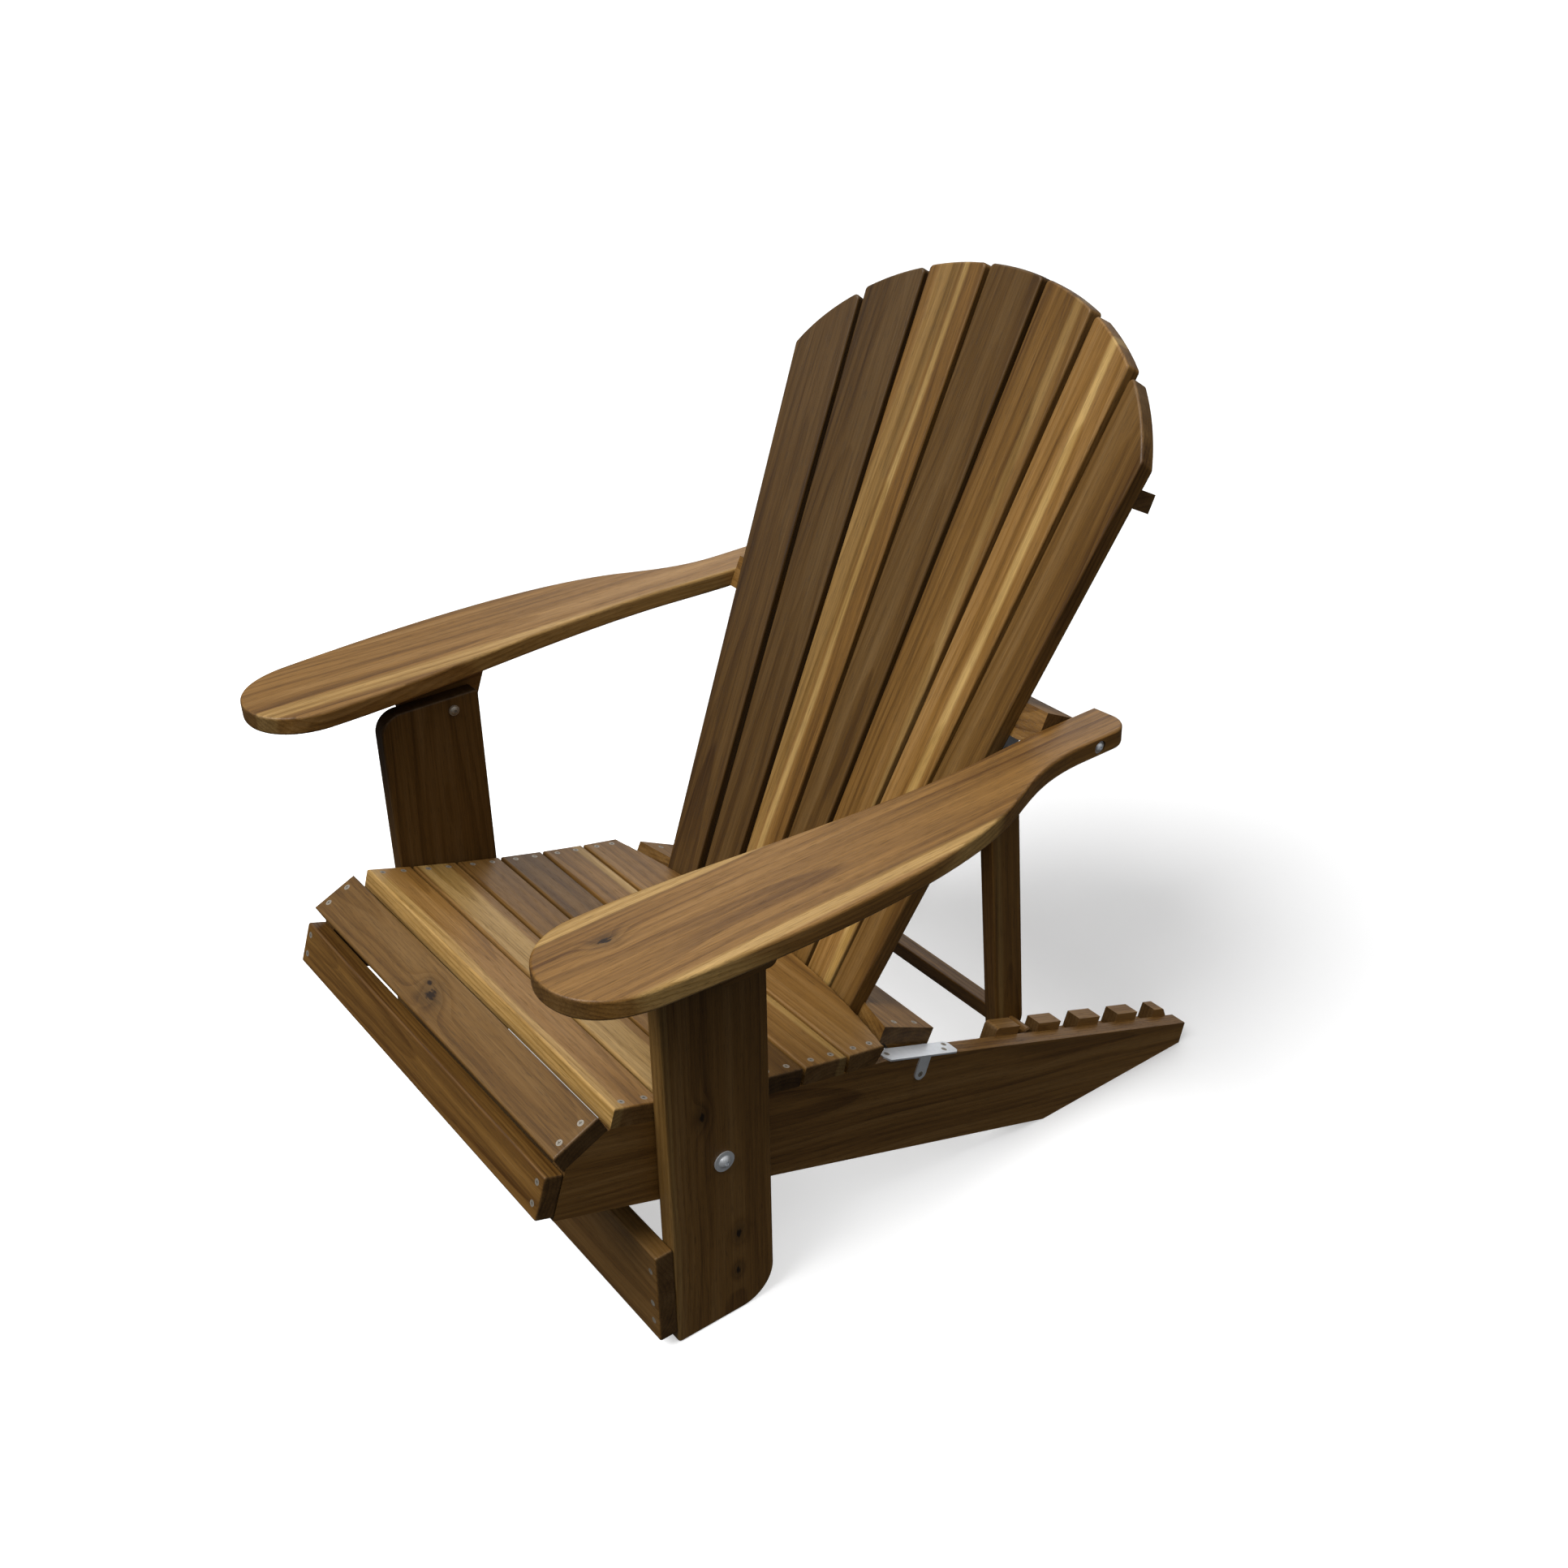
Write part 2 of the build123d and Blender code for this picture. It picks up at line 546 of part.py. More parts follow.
for (side, sign), holes in zip(SIDES, cleat_holes):
    with BuildPart() as arm:
        with BuildSketch(arm_plane.offset(-ARM_THICK)) as outline:
            with BuildLine():
                Bezier((247.5 * sign, -375.0), (247.5 * sign, -420.0), (278.0 * sign, -447.0),
                       (311.0 * sign, -447.0))
                Bezier((311.0 * sign, -447.0), (350.0 * sign, -447.0), (377.0 * sign, -420.0),
                       (381.0 * sign, -372.0))
                Bezier((381.0 * sign, -372.0), (391.0 * sign, -252.0), (402.0 * sign, -55.0),
                       (350.0 * sign, 55.0))
                Bezier((350.0 * sign, 55.0), (331.1 * sign, 95.0), (ARM_TAIL_OUT * sign, 125.0),
                       (ARM_TAIL_OUT * sign, 175.0))
                Polyline((ARM_TAIL_OUT * sign, 175.0), (ARM_TAIL_OUT * sign, 244.0),
                         (ARM_TAIL_IN * sign, 239.0), (ARM_TAIL_IN * sign, 165.0))
                Spline((ARM_TAIL_IN * sign, 165.0), (272.5 * sign, 60.0),
                       (272.0 * sign, -40.0), (258.0 * sign, -210.0), (247.5 * sign, -375.0),
                       tangents=((0, -1), (0, -1)))
            make_face()
            corners = outline.vertices().sort_by(Axis.Y)[-2:]
            fillet(corners.sort_by(lambda v: abs(v.X))[1], 24.0)
            fillet(corners.sort_by(lambda v: abs(v.X))[0], 14.0)
        extrude(amount=ARM_THICK)
        rims = arm.edges().filter_by(
            lambda e: abs(arm_plane.to_local_coords(e.center()).Z + ARM_THICK / 2) > 9.0)
        fillet(rims, ARM_EDGE)
        with BuildSketch(facing(ARM_TAIL_IN - 5, TAIL_PIVOT, sign)):
            Circle(TAIL_BOLT_R + TAIL_PLAY)
        extrude(amount=80.0, mode=Mode.SUBTRACT)
        with BuildSketch(facing(ARM_TAIL_OUT - HEAD_BORE_DEEP, TAIL_PIVOT, sign)):
            Circle(HEAD_BORE_R)
        extrude(amount=30.0, mode=Mode.SUBTRACT)
        add(holes.part, mode=Mode.SUBTRACT)
    finish(arm, f"arm_{side}")

for (side, sign), holes, bores in zip(SIDES, cleat_holes, cleat_bores):
    start, width = between(CLEAT_IN, CLEAT_OUT, sign)
    under = ARM_TOP - ARM_THICK / math.cos(math.radians(ARM_SLOPE))
    rise = math.tan(math.radians(ARM_SLOPE))
    with BuildPart() as cleat:
        with BuildSketch(side_plane(start)) as shape:
            with BuildLine():
                Polyline((-292.0, under - 292.0 * rise), (-174.0, under - 174.0 * rise),
                         (-203.0, 432.0), (-262.0, 432.0), close=True)
            make_face()
            fillet(shape.vertices().group_by(Axis.Z)[0], 9.0)
            with Locations(ARM_PIVOT):
                Circle(ARM_BOLT_R + BOLT_FIT, mode=Mode.SUBTRACT)
        extrude(amount=width)
        add(holes.part, mode=Mode.SUBTRACT)
        add(bores.part, mode=Mode.SUBTRACT)
    finish(cleat, f"arm_cleat_{side}")

# ================================================================ back
with BuildPart() as head_outline:
    with BuildSketch(back_plane(90.0)):
        with Locations((0, HEAD_LEVEL)):
            Ellipse(HEAD_WIDE, HEAD_HIGH)
        with Locations((0, HEAD_LEVEL / 2)):
            Rectangle(2 * HEAD_WIDE + 20, HEAD_LEVEL)
    extrude(amount=150.0)

steps = [index - SLAT_COUNT // 2 for index in range(SLAT_COUNT)]
back_slats = []
for step in steps:
    face = slat_plane(step)
    half_low = (BACK_HALF + FAN * SLAT_FOOT) / 7 - SLAT_GAP / 2
    half_high = (BACK_HALF + FAN * 860.0) / 7 - SLAT_GAP / 2
    with BuildPart() as slat:
        with BuildSketch(face):
            with BuildLine():
                Polyline((-half_low, SLAT_FOOT), (half_low, SLAT_FOOT), (half_high, 860.0),
                         (-half_high, 860.0), close=True)
            make_face()
        extrude(amount=-SLAT_THICK)
        add(head_outline.part, mode=Mode.INTERSECT)
        corners = slat.edges().filter_by(
            lambda e: e.length < 2 * SLAT_THICK and face.to_local_coords(e.center()).Y > HEAD_LEVEL)
        fillet(corners, HEAD_CORNER)
        fillet(slat.edges(), EDGE)
    back_slats.append(slat)


def rail_plane(level):
    """Plane across the back at a level: local x is +X, local y is the depth to the rear."""
    base = back_plane()
    return Plane(origin=base.origin + base.y_dir * level, x_dir=(1, 0, 0), z_dir=base.y_dir)


def rail_screws(level, rear_of):
    """One screw for each slat, driven from the rear face of a rail, with their holes."""
    wide = BACK_HALF + FAN * level
    base = back_plane()
    places = []
    for step in steps:
        deep = rear_of(step)
        origin = base.origin + base.x_dir * (wide * step / 3.5) + base.y_dir * level
        place = Plane(origin=origin - base.z_dir * deep, x_dir=(1, 0, 0), z_dir=-base.z_dir)
        places.append((place, deep - hollow(step) - SLAT_SCREW_HOLD))
    return screw_group(places)


def rail(levels, half, end_depth, rear, bowed):
    """A rail across the back: its front follows the slats, its rear is straight or bowed."""
    low, high = levels
    wide = min(half, BACK_HALF + FAN * (low + high) / 2)
    side = hollow(3.5 * wide / (BACK_HALF + FAN * (low + high) / 2)) + SLAT_THICK - LET_IN
    middle = HOLLOW + SLAT_THICK - LET_IN
    with BuildPart() as board:
        with BuildSketch(rail_plane(low)):
            with BuildLine():
                ThreePointArc((-wide, side), (0, middle), (wide, side))
                if bowed:
                    Line((wide, side), (wide, side + rear))
                    ThreePointArc((wide, side + rear), (0, middle + rear), (-wide, side + rear))
                    Line((-wide, side + rear), (-wide, side))
                else:
                    Polyline((wide, side), (half, end_depth), (half, rear), (-half, rear),
                             (-half, end_depth), (-wide, side))
            make_face()
        extrude(amount=high - low)
        for slat in back_slats:
            add(slat.part, mode=Mode.SUBTRACT)
    return board


low_level = sum(LOW_RAIL) / 2
mid_level = sum(MID_RAIL) / 2
top_level = sum(TOP_RAIL) / 2
lower_screws, lower_holes = rail_screws(low_level, lambda step: LOW_REAR)
middle_screws, middle_holes = rail_screws(mid_level - 9.0, lambda step: MID_REAR)
upper_screws, upper_holes = rail_screws(
    top_level, lambda step: hollow(step) + SLAT_THICK - LET_IN + TOP_DEEP)
finish(lower_screws, "lower_rail_screws")
finish(middle_screws, "mid_rail_screws")
finish(upper_screws, "upper_rail_screws")

block_screws, block_holes = screw_group(
    [(rail_plane(LOW_RAIL[1]) * Location((sign * (LOW_HALF - BLOCK_THICK / 2), deep, 0)), 34.0)
     for side, sign in SIDES for deep in (24.0, 56.0)])
finish(block_screws, "pivot_block_screws")

tail_bolt = washer_bolt(TAIL_BOLT_R, 5.2, 3.4, 7.0, 84.0)
with BuildPart() as tail_bolts:
    for side, sign in SIDES:
        with Locations(facing(tail_head_at, TAIL_PIVOT, sign)):
            add(tail_bolt)
finish(tail_bolts, "arm_tail_bolts")

prop_in = PROP_OUT - PROP_THICK
clevis_low = prop_in - CLEVIS_GAP - CLEVIS_T
clevis_high = PROP_OUT + CLEVIS_GAP + CLEVIS_T
clevis_face = rail_plane(MID_RAIL[0] - CLEVIS_T)
clevis_screw_places = []
for side, sign in SIDES:
    for deep in (41.0, 57.0):
        spot = clevis_face.from_local_coords(Vector(sign * (clevis_low - 11.0), deep, 0))
        clevis_screw_places.append((Plane(origin=spot, x_dir=(1, 0, 0), z_dir=-clevis_face.z_dir),
                                    26.0))
clevis_screws, clevis_holes = screw_group(clevis_screw_places)
finish(clevis_screws, "prop_clevis_screws")

for index, slat in enumerate(back_slats):
    with slat:
        for holes in (lower_holes, middle_holes, upper_holes):
            add(holes.part, mode=Mode.SUBTRACT)
    finish(slat, f"back_slat_{index + 1}")

lower_rail = rail(LOW_RAIL, LOW_HALF, -1.0, LOW_REAR, False)
with lower_rail:
    add(lower_holes.part, mode=Mode.SUBTRACT)
    add(block_holes.part, mode=Mode.SUBTRACT)
finish(lower_rail, "lower_back_rail")

middle_rail = rail(MID_RAIL, MID_RAIL_HALF, 22.0, MID_REAR, False)
with middle_rail:
    for holes in (middle_holes, tail_bolts, clevis_holes):
        add(holes.part, mode=Mode.SUBTRACT)
finish(middle_rail, "mid_back_rail")

upper_rail = rail(TOP_RAIL, TOP_HALF, 0.0, TOP_DEEP, True)
with upper_rail:
    add(upper_holes.part, mode=Mode.SUBTRACT)
finish(upper_rail, "upper_back_rail")

with BuildPart() as back_pins:
    for side, sign in SIDES:
        with BuildSketch(facing(PIN_IN, BACK_PIVOT, sign)):
            Circle(PIN_R)
        extrude(amount=SEAT_HALF - RUB_GAP - PIN_IN)
    chamfer(back_pins.edges().group_by(Axis.X)[0] + back_pins.edges().group_by(Axis.X)[-1], 0.8)
finish(back_pins, "back_pivot_pins")

for side, sign in SIDES:
    start, width = between(LOW_HALF - BLOCK_THICK, LOW_HALF, sign)
    under = rail_plane(LOW_RAIL[0])
    front = under.from_local_coords(Vector(0, 8.0, 0))
    rear = under.from_local_coords(Vector(0, 68.0, 0))
    with BuildPart() as block:
        with BuildSketch(side_plane(start)):
            with BuildLine():
                Polyline((front.Y, front.Z), (rear.Y, rear.Z),
                         (BACK_PIVOT[0] + 0.9 * BLOCK_R, BACK_PIVOT[1] - 0.436 * BLOCK_R),
                         (BACK_PIVOT[0] - 0.8 * BLOCK_R, BACK_PIVOT[1] - 0.6 * BLOCK_R),
                         close=True)
            make_face()
            with Locations(BACK_PIVOT):
                Circle(BLOCK_R)
        extrude(amount=width)
        add(block_holes.part, mode=Mode.SUBTRACT)
        add(back_pins.part, mode=Mode.SUBTRACT)
    finish(block, f"back_pivot_block_{side}")

# ================================================================ prop frame
resting = slope_dir.from_local_coords(Vector(0, -NOTCH_DROP + DOWEL_LIFT + DOWEL_R, 0))
DOWEL_AXIS = (resting.Y, resting.Z)
prop_run = Vector(0, DOWEL_AXIS[0] - PROP_PIVOT[0], DOWEL_AXIS[1] - PROP_PIVOT[1])
PROP_LONG = prop_run.length

with BuildPart() as hinge_pins:
    for side, sign in SIDES:
        with BuildSketch(facing(clevis_low - 3.0, PROP_PIVOT, sign)):
            Circle(HINGE_PIN_R)
        extrude(amount=clevis_high - clevis_low + 6.0)
        for x in (clevis_low - 3.0, clevis_high):
            with BuildSketch(facing(x, PROP_PIVOT, sign)):
                Circle(HINGE_PIN_R + 2.5)
            extrude(amount=3.0)
finish(hinge_pins, "prop_hinge_pins")

for side, sign in SIDES:
    start, width = between(clevis_low, clevis_high, sign)
    flange_start, flange_width = between(clevis_low - CLEVIS_FLANGE, clevis_high, sign)
    under = rail_plane(MID_RAIL[0])
    front = under.from_local_coords(Vector(0, CLEVIS_BASE[0], 0))
    rear = under.from_local_coords(Vector(0, CLEVIS_BASE[1], 0))
    gap_start, gap_width = between(clevis_low + CLEVIS_T, clevis_high - CLEVIS_T, sign)
    with BuildPart() as clevis:
        with BuildSketch(side_plane(start)):
            with BuildLine():
                Polyline((front.Y, front.Z), (rear.Y, rear.Z),
                         (PROP_PIVOT[0] + CLEVIS_EYE_R, PROP_PIVOT[1]),
                         (PROP_PIVOT[0] - CLEVIS_EYE_R, PROP_PIVOT[1]), close=True)
            make_face()
            with Locations(PROP_PIVOT):
                Circle(CLEVIS_EYE_R)
        extrude(amount=width)
        with BuildSketch(side_plane(gap_start)):
            with BuildLine():
                drop = under.z_dir * CLEVIS_T
                Polyline(((front - drop).Y - 5, (front - drop).Z + 2.4),
                         ((rear - drop).Y + 5, (rear - drop).Z - 2.4),
                         (PROP_PIVOT[0] + 40, PROP_PIVOT[1] - 40),
                         (PROP_PIVOT[0] - 40, PROP_PIVOT[1] - 40), close=True)
            make_face()
        extrude(amount=gap_width, mode=Mode.SUBTRACT)
        with BuildSketch(under):
            with Locations(((flange_start + flange_width / 2), sum(CLEVIS_BASE) / 2)):
                Rectangle(flange_width, CLEVIS_BASE[1] - CLEVIS_BASE[0])
        extrude(amount=-CLEVIS_T)
        add(hinge_pins.part, mode=Mode.SUBTRACT)
        add(clevis_holes.part, mode=Mode.SUBTRACT)
    finish(clevis, f"prop_clevis_{side}")

for side, sign in SIDES:
    start, width = between(prop_in, PROP_OUT, sign)
    prop_plane = Plane(origin=(start, *PROP_PIVOT), x_dir=prop_run, z_dir=(1, 0, 0))
    with BuildPart() as prop:
        with BuildSketch(prop_plane):
            with Locations((PROP_LONG / 2, 0)):
                SlotCenterToCenter(PROP_LONG, 2 * PROP_HALF_WIDTH)
            Circle(HINGE_PIN_R + BOLT_FIT, mode=Mode.SUBTRACT)
            with Locations((PROP_LONG, 0)):
                Circle(DOWEL_R, mode=Mode.SUBTRACT)
        extrude(amount=width)
        rims = prop.edges().filter_by(lambda e: e.length > 50.0)
        fillet(rims, 1.5)
    finish(prop, f"prop_{side}")

with BuildPart() as dowels:
    for side, sign in SIDES:
        with BuildSketch(facing(prop_in - DOWEL_HOLD, DOWEL_AXIS, sign)):
            Circle(DOWEL_R)
        extrude(amount=STRINGER_IN - 1.5 - prop_in + DOWEL_HOLD)
    chamfer(dowels.edges().group_by(Axis.X)[0] + dowels.edges().group_by(Axis.X)[-1], 1.5)
finish(dowels, "prop_dowels")

bar_plane = Plane(origin=(-prop_in, *DOWEL_AXIS), x_dir=prop_run, z_dir=(1, 0, 0))
with BuildPart() as bar:
    with BuildSketch(bar_plane):
        Rectangle(BAR_SIZE[1], BAR_SIZE[0])
    extrude(amount=2 * prop_in)
    fillet(bar.edges().filter_by(Axis.X), 2.0)
    add(dowels.part, mode=Mode.SUBTRACT)
finish(bar, "prop_bar")
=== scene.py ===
"""Looks of the reclining adirondack chair: oiled wood, zinc hardware, camera, light and floor."""

import json
import math

import bpy
import numpy as np
from mathutils import Matrix, Vector

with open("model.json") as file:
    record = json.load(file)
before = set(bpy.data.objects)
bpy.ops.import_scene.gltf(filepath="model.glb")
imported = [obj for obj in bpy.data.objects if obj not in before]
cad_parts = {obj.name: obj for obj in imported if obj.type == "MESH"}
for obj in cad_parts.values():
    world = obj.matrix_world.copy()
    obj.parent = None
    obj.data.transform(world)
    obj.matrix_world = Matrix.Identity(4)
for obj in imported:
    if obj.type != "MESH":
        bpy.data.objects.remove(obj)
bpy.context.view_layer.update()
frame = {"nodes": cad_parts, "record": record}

# ---------------------------------------------------------------- colours (linear RGB)
HEART_DARK = (0.085, 0.035, 0.0055, 1.0)
HEART_BROWN = (0.200, 0.098, 0.0215, 1.0)
HEART_TAN = (0.335, 0.192, 0.0680, 1.0)
SAP_DEEP = (0.290, 0.165, 0.0400, 1.0)
SAP_PALE = (0.500, 0.325, 0.1200, 1.0)
KNOT_CORE = (0.016, 0.007, 0.002, 1.0)
BRIGHT_ZINC = ((0.92, 0.95, 0.98, 1.0), (0.74, 0.77, 0.81, 1.0))
DULL_ZINC = ((0.42, 0.38, 0.32, 1.0), (0.24, 0.21, 0.17, 1.0))
FLOOR = (0.860, 0.860, 0.860, 1.0)
WHITE = (1.0, 1.0, 1.0, 1.0)
BLACK = (0.0, 0.0, 0.0, 1.0)

# ---------------------------------------------------------------- surface detail (metres)
RING_GAP = 0.0046
RING_WANDER_ACROSS = 0.030
RING_WANDER_THROUGH = 0.016
GRAIN_LEAN = 0.012
BAND_WANDER = 0.020
BAND_RAGGED = 0.010
BAND_SOFT = 0.0025
KNOT_LEAST = 0.0005
WOOD_BUMP = 0.0003
ZINC_BUMP = 0.0002
# shares of a growth ring where the dark late wood starts to show, is full and is gone
LATE_WOOD_RISE = (0.35, 0.93)
LATE_WOOD_DROP = (0.94, 1.0)
# knots: distances in knot radii; a knot is drawn out along the grain
KNOT_SHORTENED_ALONG = 0.6
KNOT_PULL = 1.7
KNOT_PULL_FADE = -0.12
KNOT_RAGGED = 2.0
KNOT_CORE_EDGE = (0.45, 1.0)
KNOT_HALO_EDGE = (0.7, 3.4)
# levels of the noise between which a pore opens, and of the face's tilt for end grain
PORE_EDGE = (0.58, 0.68)
END_GRAIN_EDGE = (0.55, 0.85)
# each board has its own seed, which moves it to another place in the noise
FIRST_SEED = 1.0
SEED_GAP = 0.73
SEED_STEPS = (7.13, 3.71, 1.37)
# how rough the plain surface is
WOOD_ROUGH = 0.35
BRIGHT_ROUGH = 0.24
DULL_ROUGH = 0.34
FLOOR_ROUGH = 0.9
# noise cells per metre along the grain, across it and through the board
WANDER_CELLS = (2.2, 9.0, 9.0)
BROAD_CELLS = (0.9, 15.0, 15.0)
STREAK_CELLS = (1.6, 52.0, 52.0)
FIBRE_CELLS = (9.0, 520.0, 520.0)
PORE_CELLS = (55.0, 1500.0, 1500.0)
KNOT_EDGE_CELLS = (110.0, 420.0, 420.0)
# noise cells per metre along X, Y and Z on the metal
BLOTCH_CELLS = (160.0, 160.0, 160.0)
SCRATCH_CELLS = (900.0, 90.0, 900.0)

# ---------------------------------------------------------------- the floor and the backdrop (metres)
FLOOR_REACH = 60.0
GLOW_FRONT = 0.50
GLOW_REAR = 0.08
GLOW_FALL_FROM = 0.10
GLOW_FALL_TO = 0.50
BACKDROP_FAR = 55.0
BACKDROP_SIDES = 64
BACKDROP_HEIGHTS = (-0.5, 50.0)
BACKDROP_GLOW = 1.2

# ---------------------------------------------------------------- the light
KEY_FROM = Vector((-0.03, -0.56, 0.83))
KEY_STRENGTH = 2.6
KEY_SPREAD = math.radians(34.0)
SKY_LOW = 0.05
SKY_RISE = 0.78
SKY_RISES_FROM = 0.15
SKY_RISES_TO = 0.95
FILL_FROM = Vector((-0.40, 0.85, 0.35))
FILL_STRENGTH = 0.85
FILL_SPREAD = math.radians(70.0)
REAR_BOX_AT = Vector((-4.2, 4.9, 3.4))
REAR_BOX_SIZE = 6.0
REAR_BOX_POWER = 100.0

# ---------------------------------------------------------------- the view
CAMERA_AT = Vector((1.3648, -0.9731, 1.3730))
AZIMUTH = math.radians(53.515)
ELEVATION = math.radians(29.783)
ROLL = math.radians(-0.934)
LENS = 40.1
SENSOR = 36.0
SEES_TO = 200.0


class Graph:
    """Adds nodes to a shader tree.  An input is a number, a tuple or another node's output."""

    def __init__(self, tree):
        self.tree = tree

    def add(self, kind, inputs=None, out=0, **settings):
        node = self.tree.nodes.new("ShaderNode" + kind)
        for key, setting in settings.items():
            setattr(node, key, setting)
        for key, item in (inputs or {}).items():
            if isinstance(item, bpy.types.NodeSocket):
                self.tree.links.new(item, node.inputs[key])
            else:
                node.inputs[key].default_value = item
        return node.outputs[out]

    def math(self, operation, a, b=0.0):
        return self.add("Math", {0: a, 1: b}, operation=operation)

    def total(self, *terms):
        result = terms[0]
        for term in terms[1:]:
            result = self.math("ADD", result, term)
        return result

    def times(self, a, b):
        return self.math("MULTIPLY", a, b)

    def weighted(self, *pairs):
        """Sum of (item, weight) pairs."""
        return self.total(*(self.times(item, weight) for item, weight in pairs))

    def step(self, item, low, high):
        """0 below low, 1 above high and smooth between."""
        return self.add("MapRange", {0: item, 1: low, 2: high}, interpolation_type="SMOOTHSTEP")

    def fall(self, item, low, high):
        """1 below low, 0 above high and smooth between."""
        return self.math("SUBTRACT", 1.0, self.step(item, low, high))

    def parts(self, vector):
        node = self.tree.nodes.new("ShaderNodeSeparateXYZ")
        self.tree.links.new(vector, node.inputs[0])
        return node.outputs[0], node.outputs[1], node.outputs[2]

    def join(self, x, y, z):
        return self.add("CombineXYZ", {0: x, 1: y, 2: z})

    def noise(self, vector, stretch, detail=2.0, rough=0.5, out=0):
        scaled = self.add("VectorMath", {0: vector, 1: stretch}, operation="MULTIPLY")
        return self.add("TexNoise", {"Vector": scaled, "Scale": 1.0, "Detail": detail,
                                     "Roughness": rough}, out=out)

    def mix(self, factor, a, b):
        return self.add("Mix", {0: factor, 6: a, 7: b}, out=2, data_type="RGBA")

    def scaled(self, colour, amount):
        """A colour times a number."""
        return self.add("VectorMath", {0: colour, "Scale": amount}, operation="SCALE")

    def darken_where(self, colour, mask, share):
        """Takes a share of the light from a colour where the mask is 1."""
        return self.scaled(colour, self.math("SUBTRACT", 1.0, self.times(mask, share)))

    def ramp(self, item, *stops):
        """Colour ramp from (position, colour) stops."""
        node = self.tree.nodes.new("ShaderNodeValToRGB")
        self.tree.links.new(item, node.inputs[0])
        elements = node.color_ramp.elements
        while len(elements) < len(stops):
            elements.new(0.5)
        for element, (position, colour) in zip(elements, stops):
            element.position = position
            element.color = colour
        return node.outputs[0]


def new_group(name, inputs, outputs):
    """Node group with its interface: the tree, its graph, the given inputs and the output node."""
    tree = bpy.data.node_groups.new(name, "ShaderNodeTree")
    for label, kind in inputs:
        tree.interface.new_socket(label, in_out="INPUT", socket_type="NodeSocket" + kind)
    for label, kind in outputs:
        tree.interface.new_socket(label, in_out="OUTPUT", socket_type="NodeSocket" + kind)
    given = tree.nodes.new("NodeGroupInput")
    result = tree.nodes.new("NodeGroupOutput")
    return tree, Graph(tree), given.outputs, result


def add_knots(g, given, x, y, place):
    """Three knots: how far they push the rings aside, their dark cores and their halos."""
    swirl = 0.0
    core = 0.0
    halo = 0.0
    ragged = g.times(g.noise(place, KNOT_EDGE_CELLS, detail=3.0), KNOT_RAGGED)
    for number in (1, 2, 3):
        knot_x, knot_y, radius = g.parts(given[f"Knot {number}"])
        there = g.math("GREATER_THAN", radius, KNOT_LEAST)
        run = g.times(g.math("SUBTRACT", x, knot_x), KNOT_SHORTENED_ALONG)
        rise = g.math("SUBTRACT", y, knot_y)
        reach = g.math("SQRT", g.total(g.times(run, run), g.times(rise, rise)))
        reach = g.math("DIVIDE", reach, g.math("MAXIMUM", radius, KNOT_LEAST))
        pull = g.math("EXPONENT", g.times(g.times(reach, reach), KNOT_PULL_FADE))
        swirl = g.total(swirl, g.times(g.times(pull, there), g.times(radius, KNOT_PULL)))
        edge = g.total(reach, ragged, -1.0)
        core = g.math("MAXIMUM", core, g.times(g.fall(edge, *KNOT_CORE_EDGE), there))
        halo = g.math("MAXIMUM", halo, g.times(g.fall(edge, *KNOT_HALO_EDGE), there))
    return swirl, core, halo


def add_rings(g, given, x, y, z, wave, wander_z, swirl):
    """Growth rings round the pith: the dark late wood and a tone for each ring."""
    _, pith_y, pith_z = g.parts(given["Pith"])
    from_y = g.math("SUBTRACT", g.total(y, g.times(wave, RING_WANDER_ACROSS)), pith_y)
    from_z = g.math("SUBTRACT", g.total(z, g.times(wander_z, RING_WANDER_THROUGH)), pith_z)
    radius = g.math("SQRT", g.total(g.times(from_y, from_y), g.times(from_z, from_z)))
    radius = g.total(radius, swirl, g.times(x, GRAIN_LEAN))
    rings = g.math("DIVIDE", radius, RING_GAP)
    along_ring = g.math("FRACT", rings)
    late = g.times(g.step(along_ring, *LATE_WOOD_RISE), g.fall(along_ring, *LATE_WOOD_DROP))
    ring_tone = g.add("TexWhiteNoise", {"W": g.total(g.math("FLOOR", rings), given["Seed"])},
                      noise_dimensions="1D")
    return late, ring_tone


def add_sapwood(g, given, y, wave, streak):
    """How much of a spot lies in one of the board's two pale bands."""
    sapwood = 0.0
    for number in (1, 2):
        middle, half, strength = g.parts(given[f"Band {number}"])
        off = g.math("SUBTRACT", g.total(y, g.times(wave, BAND_WANDER)), middle)
        off = g.math("SUBTRACT", g.math("ABSOLUTE", off), half)
        off = g.total(off, g.times(g.math("SUBTRACT", streak, 0.5), BAND_RAGGED))
        band = g.times(g.fall(off, -BAND_SOFT, BAND_SOFT), strength)
        sapwood = g.math("MAXIMUM", sapwood, band)
    return sapwood


